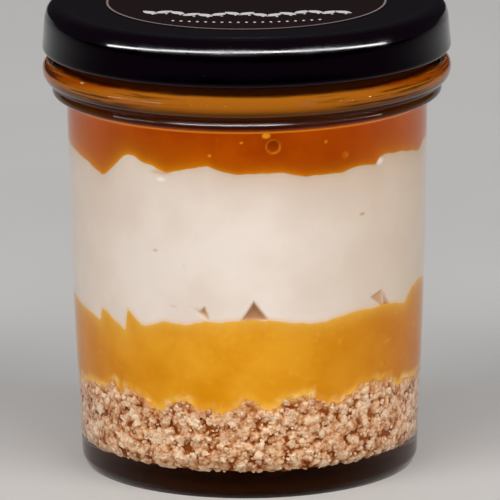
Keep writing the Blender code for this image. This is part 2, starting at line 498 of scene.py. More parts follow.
def printed_paper():
    look = Finish("printed_paper", IOR=1.45, Specular_IOR_Level=0.12)
    across = look.axis("X")
    along = look.axis("Y")
    radius = ((across * across + along * along) ** 0.5) / MM
    border = radius.ramp(23.75, 23.85) * radius.ramp(24.2, 24.1)
    fibre = look.noise(0.7, detail=4.0, roughness=0.7)
    ink = look.mix(fibre, (0.0105, 0.0055, 0.0058), (0.02, 0.0115, 0.012))
    colour = look.mix(border * 0.85, ink, (0.32, 0.25, 0.24))
    return look.use(
        Base_Color=colour,
        Roughness=fibre.ramp(0.2, 0.8, 0.36, 0.5),
        Normal=look.bump(fibre, 0.1, 0.05),
    )


def build_label():
    base_z = LID_TOP_Z - PRESSED
    edge = LABEL_RADIUS
    profile = [(0.0, base_z), (edge, base_z), (edge, base_z + PAPER * 0.7)]
    profile += [(edge - 0.05, base_z + PAPER), (edge * 0.5, base_z + PAPER), (0.0, base_z + PAPER)]
    return finished(spin(profile, LABEL_STEPS), "round_label", printed_paper(), "label", "label")


round_label = build_label()


# %% The printed garland
def pale_ink():
    look = Finish("pale_ink", Roughness=0.45, Specular_IOR_Level=0.15)
    worn = look.noise(0.5, detail=3.0)
    return look.use(Base_Color=look.mix(worn, (0.86, 0.83, 0.8), (0.66, 0.62, 0.6)))


def add_leaf(bm, x, y, length, width, turn, z):
    """A flat pointed oval, drawn from a circle whose ends are pulled out."""
    made = bmesh.ops.create_circle(bm, cap_ends=True, radius=0.5, segments=16)
    spin_round = Matrix.Rotation(turn, 4, "Z")
    for vert in made["verts"]:
        across = vert.co.y * (1.0 - (abs(vert.co.x) * 2.0) ** 2 * 0.75)
        flat = Vector((vert.co.x * length, across * width, 0.0))
        vert.co = (spin_round @ flat + Vector((x, y, z))) * MM


LEAVES = 15
DOTS = 19
GARLAND_HALF = 16.5
GARLAND_Y = -11.6
DOTS_HALF = 12.5
DOTS_Y = -18.4
INK = 0.02


def build_garland():
    """A wavy stem of leaves across the front of the label, with a row of dots below it."""
    bm = bmesh.new()
    z = LID_TOP_Z - PRESSED + PAPER + 0.01
    for i in range(LEAVES):
        share = i / (LEAVES - 1) * 2.0 - 1.0
        x = share * GARLAND_HALF
        y = GARLAND_Y + 2.2 * share * share + 0.9 * math.sin(i * 1.25)
        lean = 0.7 if i % 2 else -0.7
        add_leaf(bm, x, y, 3.6, 1.9, lean + 0.15 * share, z)
        add_leaf(bm, x + 0.5, y - 1.5, 0.55, 0.75, 0.0, z)
    for i in range(DOTS):
        share = i / (DOTS - 1) * 2.0 - 1.0
        add_leaf(bm, share * DOTS_HALF, DOTS_Y + 1.9 * share * share, 0.55, 0.9, 0.0, z)
    bmesh.ops.solidify(bm, geom=bm.faces[:], thickness=INK * MM)
    bmesh.ops.recalc_face_normals(bm, faces=bm.faces)
    piece = finished(bm, "label_garland", pale_ink(), "label")
    for face in piece.data.polygons:
        face.use_smooth = False
    return piece


label_garland = build_garland()

# %% [markdown]
# ## Where the layers meet
#
# Each layer was spooned in on top of the last, so the lines between them wander. A line is a
# short table of its turns round the jar: degrees from the front, then height in millimetres.
# The back, which nobody photographed, gets turns of the same size from a seeded draw.

# %% The turns of the three lines
CREAM_TURNS = (
    (-83, 56.9), (-74, 56.5), (-64, 55.7), (-56.5, 54.4), (-54, 54.7), (-45, 58.5),
    (-42.7, 59.1), (-40.6, 58.9), (-36, 57.9), (-32.8, 57.7), (-28, 56.6), (-17, 58.1),
    (-13.3, 58.4), (-7, 57.3), (-3.8, 57.0), (7, 57.2), (12, 57.1), (18.7, 56.3),
    (32.9, 56.3), (38.3, 56.9), (47.2, 56.6), (48.3, 57.5), (51.3, 58.0), (60.7, 57.6),
    (74.8, 56.2), (81, 57.5),
)
PUREE_TURNS = (
    (-84, 30.1), (-77, 29.6), (-67.7, 29.0), (-60, 28.2), (-58.6, 30.5), (-56, 30.3),
    (-52, 29.1), (-46.4, 27.7), (-45.2, 31.7), (-43.7, 31.1), (-39.4, 29.3), (-36.8, 29.2),
    (-29.2, 30.6), (-22.3, 30.2), (-15.3, 31.1), (-9.8, 31.0), (-3, 31.5), (7, 31.3),
    (20.6, 30.4), (26.5, 30.4), (35.9, 31.2), (41.4, 31.5), (47.5, 31.3), (51.5, 31.7),
    (64.4, 30.4), (70.6, 32.5), (76, 33.1), (83, 33.0),
)
CRUMB_TURNS = (
    (-84, 15.6), (-72, 16.3), (-60, 16.6), (-54.5, 18.3), (-50.5, 16.9), (-45.4, 17.8),
    (-36.6, 15.0), (-31.4, 15.4), (-25.5, 16.2), (-21.2, 16.9), (-15.4, 15.3), (-8, 14.6),
    (-4.5, 15.5), (-1, 17.3), (1.7, 16.6), (5.5, 16.0), (9.9, 16.2), (10.8, 17.5),
    (21.4, 17.6), (23.4, 16.6), (27.2, 15.8), (32.2, 16.0), (38.4, 16.9), (43.8, 18.3),
    (46.3, 18.0), (57.2, 17.6), (60.6, 16.1), (68, 16.3), (75.5, 15.8), (82, 16.2),
)
TABLE = np.arange(0, 3601) / 10.0 - 180.0


def line_between(turns, step, swing, seed):
    """The height of a line at every tenth of a degree round the jar."""
    draw = random.Random(seed)
    mean = sum(z for _, z in turns) / len(turns)
    points = list(turns)
    azimuth = turns[-1][0] + step
    side = 1
    while azimuth < turns[0][0] + 360 - step * 0.7:
        points.append((azimuth, mean + side * swing * draw.uniform(-0.15, 1.0)))
        side = -side
        azimuth += step * draw.uniform(0.35, 1.7)
    first = points[0]
    points.append((first[0] + 360, first[1]))
    wrapped = [(a - 360, z) for a, z in points[:-1]] + points
    return np.interp(TABLE, [a for a, z in wrapped], [z for a, z in wrapped])


def softened(heights, degrees):
    """Round off the turns over this many degrees."""
    width = max(1, int(degrees * 10))
    kernel = np.hanning(width + 2)[1:-1]
    ring = np.concatenate([heights[-1 - width:-1], heights, heights[1:1 + width]])
    smooth = np.convolve(ring, kernel / kernel.sum(), mode="same")
    return smooth[width:-width]


def roughened(line, size, amount, seed):
    """Add unevenness of this size and height, in millimetres, to a line."""
    count = int(math.tau * 28.5 / size)
    knots = np.random.default_rng(seed).uniform(-amount, amount, count)
    knots = np.concatenate([knots, knots[:1]])
    return line + softened(np.interp(TABLE, np.linspace(-180, 180, count + 1), knots), 0.5)


CREAM_LINE = softened(line_between(CREAM_TURNS, 12.0, 1.3, 3), 2.2)
CREAM_LINE = roughened(CREAM_LINE, 1.1, 0.1, 41)
PUREE_LINE = softened(line_between(PUREE_TURNS, 11.0, 1.2, 8), 1.2)
PUREE_LINE = roughened(PUREE_LINE, 0.9, 0.12, 42)
CRUMB_LINE = softened(line_between(CRUMB_TURNS, 7.0, 1.5, 5), 1.0)
CRUMB_LINE = roughened(roughened(CRUMB_LINE, 1.5, 0.6, 43), 0.6, 0.4, 44)


# %% Surfaces between the layers
def surface(line, mean, cell, amount, power):
    """A boundary: the line at the glass, and gentle hills of its own further in."""

    def height(share, azimuth):
        edge = np.interp((azimuth + 180.0) % 360.0 - 180.0, TABLE, line) - mean
        angle = np.radians(azimuth)
        across = share * 28.8 * np.sin(angle) / cell
        along = share * 28.8 * np.cos(angle) / cell
        hills = np.sin(across * 2.1 + 0.7) * np.cos(along * 1.7 - 0.4)
        return mean + edge * share**power + amount * hills * (1.0 - share**power)

    return height


cream_top = surface(CREAM_LINE, 57.2, 9.0, 0.5, 4)
puree_top = surface(PUREE_LINE, 30.4, 8.0, 0.6, 4)
crumb_top = surface(CRUMB_LINE, 16.2, 3.0, 0.5, 3)


def crumb_floor(share, azimuth):
    return FLOOR_Z - 0.05 + 0.4 * (1.0 - share)


def jelly_top(share, azimuth):
    return 73.0 + 0.35 * share**12


# %% [markdown]
# ## Building a layer
#
# A layer could be spun like the jar, but no two of its sides are alike. So a flat grid is rolled
# up round the axis and its points are then moved: outwards a hair into the wall of the glass, so
# that no film of air is left to shine there, and up or down to the layer's two surfaces. Seam and
# poles are merged shut. The points also store how far they lie from the lines above and below,
# because puree and jelly are paler where they thin out over cream and crumbs.

# %% The layer builder
FOOD_STEPS = 640
INTO_GLASS = 0.06
SIDE_RADIUS = 28.5
LAPPED = 0.08
# Rings of points on the flat ends, as shares of the radius
RINGS = (0.0, 0.25, 0.45, 0.62, 0.76, 0.87, 0.94, 0.98)


def reach_to(line, azimuth, height):
    """Distance in millimetres from points on the wall to a line."""
    best = np.full(len(azimuth), 1e9)
    for turn in np.arange(-9.0, 9.01, 0.45):
        level = np.interp((azimuth + turn + 180.0) % 360.0 - 180.0, TABLE, line)
        best = np.minimum(best, np.hypot(math.radians(turn) * SIDE_RADIUS, level - height))
    return best


def keep_number(mesh, name, values):
    """Store one number for each point of a mesh."""
    layer = mesh.attributes.new(name, "FLOAT", "POINT")
    layer.data.foreach_set("value", values.astype(np.float32))


def points_of(mesh):
    """The places of a mesh's points, one in each row."""
    flat = np.empty(len(mesh.vertices) * 3)
    mesh.vertices.foreach_get("co", flat)
    return flat.reshape(-1, 3)


def rolled_grid(steps, path):
    """A grid rolled up round the axis, as a mesh, with each point's share, azimuth and level."""
    bm = bmesh.new()
    bmesh.ops.create_grid(bm, x_segments=steps, y_segments=len(path) - 1, size=1.0)
    mesh = as_mesh(bm, "rolled")
    flat = points_of(mesh)
    place = (flat[:, 1] + 1.0) * 0.5 * (len(path) - 1)
    azimuth = np.round(flat[:, 0] * steps / 2.0) * 360.0 / steps
    share = np.interp(place, range(len(path)), [r for r, z in path])
    level = np.interp(place, range(len(path)), [z for r, z in path])
    return mesh, share, azimuth, level


def closed(mesh):
    """Join the seam and the two ends of a rolled grid, and turn its faces outwards."""
    bm = bmesh.new()
    bm.from_mesh(mesh)
    bmesh.ops.remove_doubles(bm, verts=bm.verts, dist=1e-7)
    bmesh.ops.recalc_face_normals(bm, faces=bm.faces)
    return bm


def build_layer(name, bottom, top, rows, look, slot, node, lines, relief=None, steps=FOOD_STEPS):
    """A layer between two surfaces. relief moves points of its side inwards, in millimetres."""
    side = [(1.0, i / rows) for i in range(rows + 1)]
    path = [(r, 0.0) for r in RINGS] + side + [(r, 1.0) for r in reversed(RINGS)]
    mesh, share, azimuth, level = rolled_grid(steps, path)
    low_z = bottom(share, azimuth) - LAPPED * (1.0 - share**8)
    height = low_z + level * (top(share, azimuth) - low_z)
    radius = inner_radius(height) + INTO_GLASS
    on_side = share > 0.99
    mark = np.zeros(len(share))
    if relief is not None:
        push, mark[on_side] = relief(azimuth[on_side], height[on_side])
        radius[on_side] -= push
    angle = np.radians(azimuth)
    moved = np.stack([share * radius * np.sin(angle), -share * radius * np.cos(angle), height], 1)
    mesh.vertices.foreach_set("co", (moved * MM).ravel())
    for i, line in enumerate(lines):
        keep_number(mesh, f"reach_{i}", reach_to(line, azimuth, height))
    keep_number(mesh, "mark", mark)
    keep_number(mesh, "side", on_side)
    bm = closed(mesh)
    bpy.data.meshes.remove(mesh)
    side_mark = bm.verts.layers.float["side"]
    bm.faces.index_update()
    round_faces = [min(v[side_mark] for v in face.verts) > 0.5 for face in bm.faces]
    for edge in bm.edges:
        edge.smooth = len({round_faces[face.index] for face in edge.link_faces}) == 1
    piece = finished(bm, name, look, slot, node)
    piece.data.polygons.foreach_set("use_smooth", round_faces)
    return piece


# %% [markdown]
# ## The cream
#
# Thick cheese cream, off-white and almost smooth. Where it was spooned on, it left small pockets
# above the puree. They are real hollows in its side, each drawn as a triangle that slopes in from
# its edges, and coloured brown with juice stain and painted shade, darker in the two deepest. A
# few spots of juice lie flat, so they are colour alone, and two whiter spots are painted
# highlights. Painted shade darkens the cream towards both sides. It warms where the jelly or the
# puree shines through its thin edge.

# %% Pockets in the cream
# Three corners as degrees and height, then depth in millimetres and stain with painted shade
POCKETS = (
    ((1.7, 35.0), (-3.0, 31.3), (7.2, 31.3), 1.5, 0.9),
    ((-14.9, 34.0), (-17.6, 32.6), (-13.0, 31.2), 1.2, 0.8),
    ((-21.6, 33.9), (-16.4, 33.2), (-15.6, 32.2), 0.8, 0.6),
    ((-34.6, 32.9), (-33.6, 32.9), (-31.8, 31.4), 0.5, 0.35),
    ((51.2, 34.4), (44.6, 33.4), (52.0, 30.8), 0.8, 0.69),
    ((51.2, 34.4), (52.0, 30.8), (56.0, 30.8), 0.8, 0.69),
    ((-23.2, 41.1), (-22.0, 41.1), (-20.7, 39.3), 0.4, 0.55),
    ((-7.2, 36.3), (-4.4, 36.7), (-4.2, 36.2), 0.3, 0.2),
    ((-128.0, 33.2), (-133.0, 31.2), (-126.0, 31.0), 0.9, 0.5),
    ((97.0, 33.4), (93.0, 32.8), (98.5, 31.0), 0.7, 0.4),
)
# Degrees, height, half width, half height and tone, where -1 is white, a painted highlight
SPOTS_AND_HIGHLIGHTS = (
    (-30.0, 56.7, 2.4, 0.6, 0.5), (-29.9, 55.5, 1.1, 0.5, -0.65), (48.8, 57.0, 1.1, 0.8, -0.6),
    (41.1, 48.4, 0.8, 0.35, 0.7), (-32.5, 42.9, 0.65, 0.35, 0.6), (-26.0, 33.4, 0.9, 0.3, 0.4),
    (12.0, 44.5, 0.5, 0.7, 0.12), (118.0, 50.5, 0.7, 0.3, 0.4), (-150.0, 44.0, 0.6, 0.3, 0.4),
)


def inside_triangle(across, height, corners):
    """How deep points lie inside a triangle, in millimetres. It is negative outside."""
    points = [(math.radians(a) * SIDE_RADIUS, z) for a, z in corners]
    (ax, ay), (bx, by), (cx, cy) = points
    turn = 1.0 if (bx - ax) * (cy - ay) - (by - ay) * (cx - ax) > 0 else -1.0
    depth = np.full(len(across), 1e9)
    for (sx, sy), (ex, ey) in zip(points, points[1:] + points[:1]):
        size = math.hypot(ex - sx, ey - sy)
        gap = turn * ((ex - sx) * (height - sy) - (ey - sy) * (across - sx)) / size
        depth = np.minimum(depth, gap)
    return depth


def step(value, low, high):
    """Smooth step from 0 to 1 between two values."""
    share = np.clip((value - low) / (high - low), 0.0, 1.0)
    return share * share * (3.0 - 2.0 * share)


def cream_relief(azimuth, height):
    """How deep the pockets go, and marks: stain with painted shade, spots, painted highlights."""
    across = np.radians(azimuth) * SIDE_RADIUS
    push = np.zeros(len(azimuth))
    mark = np.zeros(len(azimuth))
    for *corners, depth, stain in POCKETS:
        inside = inside_triangle(across, height, corners)
        push = np.maximum(push, 0.7 * depth * step(inside, -0.1, 0.9))
        mark = np.maximum(mark, stain * step(inside, -0.2, 0.45))
    for centre, z, wide, tall, tone in SPOTS_AND_HIGHLIGHTS:
        aside = np.radians(azimuth - centre) * SIDE_RADIUS / wide
        away = np.hypot(aside, (height - z) / tall)
        mark += tone * step(-away, -1.2, -0.4)
    return push, mark


def cream_look():
    look = Finish("thick_cream", Specular_IOR_Level=0.0)
    clouds = look.noise(11.0, detail=3.0, roughness=0.55)
    grain = look.noise(0.5, detail=3.0, roughness=0.6)
    colour = look.mix(clouds.ramp(0.3, 0.7), srgb(232, 213, 200), srgb(240, 224, 213))
    across = look.axis("X") / MM
    # Painted shade: darker and warmer towards both sides, most on the right
    cream_side_shade = across.ramp(0.0, 36.0) * 0.65 + across.ramp(-8.0, -36.0) * 0.2
    colour = look.mix(cream_side_shade, colour, srgb(214, 184, 156))
    near_jelly = look.stored("reach_1")
    tint = near_jelly.math("EXPONENT", near_jelly * -0.27) * 0.6
    tint = tint + near_jelly.math("EXPONENT", near_jelly * -2.5) * 0.2
    colour = look.mix(tint * across.ramp(-3.0, -17.0, 1.0, 0.6), colour, srgb(200, 165, 135))
    near_puree = look.stored("reach_0").ramp(1.0, 0.0)
    colour = look.mix(near_puree * 0.65, colour, srgb(236, 190, 140))
    mark = look.stored("mark")
    # Pockets brown with juice stain and painted shade, darker in the two deepest; spots of juice
    colour = look.mix(mark.ramp(0.0, 1.0), colour, srgb(208, 148, 100))
    colour = look.mix(mark.ramp(0.7, 0.9) * 0.6, colour, srgb(176, 138, 104))
    # Painted highlights: the whiter spots
    colour = look.mix(mark.ramp(0.0, -1.0), colour, srgb(250, 242, 234))
    pores = look.dots(1.9).ramp(0.07, 0.03)
    colour = look.mix(pores * 0.3, colour, srgb(196, 172, 150))
    return look.use(
        Base_Color=colour,
        Roughness=grain.ramp(0.2, 0.8, 0.45, 0.6),
        Normal=look.bump(grain, 0.15, 0.1),
    )


cream_piece = build_layer(
    "cream_layer", puree_top, cream_top, 88, cream_look(), "cream", "cream",
    (PUREE_LINE, CREAM_LINE), cream_relief,
)

# %% [markdown]
# ## The jelly
#
# The top layer is set mango and passion fruit juice. It is deep orange and clouded, and turns
# golden where it thins out over the cream. Real jelly scatters light inside, which is slow to
# work out behind glass. The golden edge is a colour that fades with the distance to the line
# instead. Some air bubbles and shreds of fruit touch the glass, and the bubbles are hollows with
# a painted highlight on the rim and painted shade in the middle. Where the jelly shows through
# the bead it is painted lighter, with a painted bright line at the bead's foot.

# %% Bubbles and shreds
# Degrees, height and radius in millimetres
BUBBLES = ((8.5, 61.8, 1.15), (-63.0, 66.5, 0.5), (34.0, 59.3, 0.4), (131.0, 63.0, 0.9))
SHREDS = ((6.1, 63.9, 0.85), (-2.0, 62.6, 0.35), (-12.5, 60.2, 0.3), (26.5, 62.0, 0.35))


def jelly_relief(azimuth, height):
    """Hollows for the bubbles. The mark is 1 on a shred and on a bubble's rim, a painted highlight,
    and below 0 in a bubble's middle, painted shade.
    """
    push = np.zeros(len(azimuth))
    mark = np.zeros(len(azimuth))
    for centre, z, radius in BUBBLES:
        away = np.hypot(np.radians(azimuth - centre) * SIDE_RADIUS, height - z)
        push = np.maximum(push, 0.75 * np.sqrt(np.maximum(radius * radius - away * away, 0.0)))
        mark += 0.6 * step(-np.abs(away - radius), -0.28, 0.0)
        mark -= 0.45 * step(-away, -radius * 0.6, -radius * 0.2)
    for centre, z, radius in SHREDS:
        away = np.hypot(np.radians(azimuth - centre) * SIDE_RADIUS, (height - z) * 1.1)
        mark = np.maximum(mark, step(-away, -radius, -radius * 0.6))
    return push, mark


def jelly_look():
    look = Finish("fruit_jelly", Specular_IOR_Level=0.0)
    cloud = look.noise(7.0, detail=4.0, roughness=0.6)
    fleck = look.noise(0.9, detail=2.0, roughness=0.6)
    deep = look.mix(cloud.ramp(0.3, 0.7), srgb(158, 54, 0), srgb(177, 69, 0))
    across = look.axis("X") / MM
    sides = across.ramp(17.0, 29.0) + across.ramp(-17.0, -29.0)
    deep = look.mix(sides * 0.7, deep, srgb(184, 86, 0))
    near = look.stored("reach_0")
    golden = across.ramp(-5.0, -15.0)
    glow = near.math("EXPONENT", near * -0.45) * (golden * 0.24 + 0.12)
    edge = near.math("EXPONENT", near * -1.6) * 0.5
    colour = look.mix(glow + edge, deep, srgb(222, 146, 20))
    colour = look.mix(fleck.ramp(0.62, 0.76) * 0.35, colour, srgb(204, 108, 14))
    level = look.axis("Z") / MM
    # Painted light: lighter and more golden above 67 mm, where the jelly shows through the bead
    colour = look.mix(level.ramp(67.0, 68.4), colour, srgb(208, 120, 28))
    # Painted light: a thin bright golden line at the foot of the bead
    rim = level.ramp(64.3, 64.7) * level.ramp(65.2, 64.9)
    colour = look.mix(rim * 0.8, colour, srgb(226, 132, 14))
    mark = look.stored("mark")
    # A shred's own pale colour, and a painted highlight on a bubble's rim
    colour = look.mix(mark.ramp(0.0, 1.0), colour, srgb(224, 146, 34))
    # Painted shade in a bubble's middle
    colour = look.mix(mark.ramp(0.0, -0.45), colour, srgb(139, 80, 20))
    return look.use(
        Base_Color=colour,
        Roughness=cloud.ramp(0.2, 0.8, 0.3, 0.45),
        Normal=look.bump(cloud, 0.05, 0.2),
    )


jelly_piece = build_layer(
    "jelly_layer", cream_top, jelly_top, 56, jelly_look(), "fruit_jelly", "fruit_jelly",
    (CREAM_LINE,), jelly_relief,
)

# %% [markdown]
# ## The puree
#
# Cooked mango is opaque and amber, and painted shade makes it deeper towards both sides. It
# glows lighter where cream or pale crumbs shine through its thin edge, in clumps as uneven as the
# crumbs themselves. Fine pulp gives it soft specks. Two sizes of cloudy noise are enough for that.


# %% The puree's finish
def puree_look():
    look = Finish("mango_puree", Specular_IOR_Level=0.0)
    cloud = look.noise(8.0, detail=4.0, roughness=0.55)
    pulp = look.noise(1.1, detail=3.0, roughness=0.65)
    across = look.axis("X") / MM
    colour = look.mix(cloud.ramp(0.3, 0.7), srgb(220, 139, 12), srgb(235, 161, 38))
    # Painted shade: deeper and darker towards both sides
    puree_side_shade = across.ramp(0.0, 34.0) * 0.75 + across.ramp(-14.0, -34.0) * 0.6
    colour = look.mix(puree_side_shade, colour, srgb(194, 102, 0))
    clump = look.noise(3.6, detail=2.0).ramp(0.4, 0.6, 0.3, 1.0)
    near_crumbs = look.stored("reach_0").ramp(1.7, 0.1) * clump
    near_cream = look.stored("reach_1")
    near_cream = near_cream.math("EXPONENT", near_cream * -0.8)
    colour = look.mix(near_cream * 0.8, colour, srgb(236, 180, 76))
    pale = look.noise(1.6, detail=2.0).ramp(0.5, 0.66)
    halo = look.mix(pale, srgb(244, 190, 74), srgb(246, 214, 150))
    colour = look.mix(near_crumbs * 0.9, colour, halo)
    colour = look.mix(pulp.ramp(0.56, 0.72) * 0.35, colour, srgb(240, 176, 66))
    return look.use(
        Base_Color=colour,
        Roughness=pulp.ramp(0.2, 0.8, 0.3, 0.45),
        Normal=look.bump(pulp, 0.03, 0.15),
    )


puree_piece = build_layer(
    "puree_layer", crumb_top, puree_top, 48, puree_look(), "fruit_puree", "fruit_puree",
    (CRUMB_LINE, PUREE_LINE),
)

# %% [markdown]
# ## The biscuit crumbs
#
# The base is crushed biscuit bound with butter. A heap of loose pieces alone would show holes, and
# one lumpy wall alone would look cast. So a lumpy core closes the layer, and thousands of small
# crumbs are pressed into its side, each a broken ball with its own size, turn and tone. A crumb
# that would pass the wall is pressed flat. Colour follows depth as painted light and shade: what
# touches the glass is pale, with a painted highlight on the loose crumbs, the gaps get painted
# shade in brown, and toasted patches run on from one crumb to the next.

# %% The mass of crumbs
CRUMB_RELIEF = 1.2


def rough_field(azimuth, height, size, seed):
    """Uneven numbers around 0 over the wall, with lumps of this size in millimetres."""
    angle = np.radians(azimuth)
    places = np.stack([np.sin(angle), -np.cos(angle), height / SIDE_RADIUS], 1) * SIDE_RADIUS / size
    return np.array([noise.noise(Vector(p) + Vector((seed, -seed, seed))) for p in places])


def grainy_field(azimuth, height, size, seed):
    """Round lumps of this size with creases between them, from about 0.4 down to -0.5."""
    angle = np.radians(azimuth)
    places = np.stack([np.sin(angle), -np.cos(angle), height / SIDE_RADIUS], 1) * SIDE_RADIUS / size
    shift = Vector((seed, -seed, seed))
    return np.array([0.45 - noise.voronoi(Vector(p) + shift)[0][0] for p in places])


def crumb_relief(azimuth, height):
    """Lumps that press into the glass, and gaps between them that just reach it."""
    lumps = 0.43 + 0.35 * rough_field(azimuth, height, 2.8, 3.1)
    lumps += 0.95 * grainy_field(azimuth, height, 1.9, 7.7)
    lumps += 0.5 * grainy_field(azimuth, height, 0.9, 4.4)
    lumps += 0.3 * rough_field(azimuth, height, 0.45, 5.3)
    lumps = np.clip(lumps, 0.0, 1.0)
    return -CRUMB_RELIEF * lumps, lumps


def toasted(look, colour):
    """Brown pores and toasted patches that run on from one crumb to the next."""
    clumps = look.noise(2.1, detail=3.0, roughness=0.55)
    pores = look.noise(0.55, detail=2.0, roughness=0.6)
    colour = look.mix(clumps.ramp(0.44, 0.36) * 0.5, colour, srgb(186, 108, 44))
    colour = look.mix(clumps.ramp(0.5, 0.62) * 0.5, colour, srgb(255, 230, 200))
    return look.mix(pores.ramp(0.43, 0.34) * 0.5, colour, srgb(180, 104, 46))


def core_look():
    look = Finish("buttered_crumbs", Roughness=0.85, Specular_IOR_Level=0.02)
    lumps = look.stored("mark")
    crust = look.noise(0.4, detail=3.0, roughness=0.65)
    tone = look.noise(3.0, detail=2.0)
    light = look.mix(tone.ramp(0.35, 0.65), srgb(232, 180, 136), srgb(247, 214, 178))
    height = lumps + (crust - 0.5) * 0.15
    near = look.stored("reach_0")
    # Painted shade by depth: brown in the gaps, a mid tone on the flanks, pale where lumps touch
    # glass
    gap = look.mix(near.ramp(1.6, 0.5), srgb(146, 74, 30), srgb(194, 116, 54))
    colour = look.mix(height.ramp(0.04, 0.28), gap, srgb(208, 144, 92))
    colour = look.mix(height.ramp(0.24, 0.58), colour, toasted(look, light))
    patch = look.noise(2.4, detail=2.0).ramp(0.55, 0.66)
    colour = look.mix(near.ramp(2.4, 0.4) * patch * 0.6, colour, srgb(188, 104, 44))
    steeped = look.mix(crust.ramp(0.35, 0.65), srgb(206, 138, 72), srgb(244, 202, 138))
    colour = look.mix(near.ramp(1.1, 0.2) * 0.7, colour, steeped)
    return look.use(Base_Color=colour, Normal=look.bump(crust, 0.5, 0.2))


core_piece = build_layer(
    "crumb_core", crumb_floor, crumb_top, 72, core_look(), "crumb_base", "crumb_base",
    (CRUMB_LINE,), crumb_relief, 1000,
)


# %% [markdown]
# ### Loose crumbs
#
# One ball is made and copied until there are enough, all in one mesh. Each ball is then given its
# own lumps, stretch, turn and place in one step. Their faces stay flat, as broken biscuit is.

# %% Bumpy balls
def many_balls(name, count):
    """A mesh of equal balls: one ball, copied again and again until there are enough."""
    bm = bmesh.new()
    bmesh.ops.create_icosphere(bm, subdivisions=2, radius=1.0)
    kinds = (bm.verts, bm.edges, bm.faces)
    each = [len(kind) for kind in kinds]
    made = 1
    while made < count:
        more = min(made, count - made)
        copied = []
        for kind, size in zip(kinds, each):
            copied += kind[:more * size]
        bmesh.ops.duplicate(bm, geom=copied)
        made += more
    return as_mesh(bm, name)


def random_turns(draw, count):
    """Random rotation matrices, one for each crumb."""
    turns = draw.normal(size=(count, 4))
    w, x, y, z = (turns / np.linalg.norm(turns, axis=1, keepdims=True)).T
    rows = [
        [1 - 2 * (y * y + z * z), 2 * (x * y - z * w), 2 * (x * z + y * w)],
        [2 * (x * y + z * w), 1 - 2 * (x * x + z * z), 2 * (y * z - x * w)],
        [2 * (x * z - y * w), 2 * (y * z + x * w), 1 - 2 * (x * x + y * y)],
    ]
    return np.array(rows).transpose(2, 0, 1)


def crumb_shapes(draw, unit, centres, sizes):
    """Each crumb as a lumpy ball of its own, points in millimetres."""
    count = len(centres)
    stretch = draw.uniform(0.6, 1.25, (count, 1, 3))
    lumps = draw.uniform(0.5, 1.5, (count, len(unit), 1))
    near = np.argsort(((unit[:, None] - unit[None]) ** 2).sum(-1), axis=1)[:, :5]
    lumps = 0.6 * lumps + 0.4 * lumps[:, near, 0].mean(-1, keepdims=True)
    local = unit[None] * lumps * stretch
    turned = np.einsum("nij,nkj->nki", random_turns(draw, count), local)
    return centres[:, None] + turned * sizes[:, None, None]


def kept_in(points, top_limit):
    """Keep the points just inside the glass, over its floor and under the puree's line."""
    radius = np.hypot(points[..., 0], points[..., 1])
    azimuth = np.degrees(np.arctan2(points[..., 0], -points[..., 1]))
    z = points[..., 2]
    z = np.minimum(z, np.interp(azimuth, TABLE, CRUMB_LINE) + top_limit)
    z = np.maximum(z, FLOOR_Z - 0.25)
    wall = inner_radius(z) + CRUMB_RELIEF + 0.15
    scale = np.minimum(1.0, wall / np.maximum(radius, 1e-6))
    return np.stack([points[..., 0] * scale, points[..., 1] * scale, z], axis=-1)


# %% Where crumbs lie
def wall_places(draw, spacing, depth, jitter, over):
    """Places near the glass on a staggered grid, shaken so that no row shows."""
    places = []
    rows = int(13.5 / (spacing * 0.87))
    for row in range(rows):
        z = FLOOR_Z + 0.5 + row * spacing * 0.87
        around = int(math.tau * SIDE_RADIUS / spacing)
        for i in range(around):
            azimuth = 360.0 * (i + 0.5 * (row % 2)) / around - 180.0
            height = z + draw.normal() * jitter * spacing
            azimuth += math.degrees(draw.normal() * jitter * spacing / SIDE_RADIUS)
            top = np.interp((azimuth + 180) % 360 - 180, TABLE, CRUMB_LINE)
            if height > top + over:
                continue
            radius = inner_radius(height) + depth + draw.normal() * 0.15
            angle = math.radians(azimuth)
            places.append((radius * math.sin(angle), -radius * math.cos(angle), height))
    return np.array(places)


# %% Crumbs of one kind
FAIR_CRUMB = (0.45, 0.95)
FINE_CRUMB = (0.15, 0.4)
PALE_SHARE = 0.75
# How far crumbs may rise over the line
OVER_LINE = 0.25


def crumb_look(name, dark, light, rough):
    look = Finish(name, Roughness=rough, Specular_IOR_Level=0.02)
    tone = look.stored("tone")
    crust = look.noise(0.5, detail=3.0, roughness=0.65)
    depth = look.stored("depth") + (crust - 0.5) * 0.2
    colour = look.mix(tone * 0.5 + crust * 0.5, dark, light)
    # Painted highlight where a crumb touches the glass, and painted shade in brown down its flanks
    colour = look.mix(depth.ramp(0.75, 1.1) * 0.5, colour, srgb(255, 232, 202))
    colour = look.mix(depth.ramp(0.1, 0.6), srgb(192, 112, 50), toasted(look, colour))
    over = look.stored("over")
    patch = look.noise(2.4, detail=2.0).ramp(0.55, 0.66)
    colour = look.mix(over.ramp(-2.4, -0.4) * patch * 0.6, colour, srgb(188, 104, 44))
    return look.use(Base_Color=colour, Normal=look.bump(crust, 0.6, 0.2))


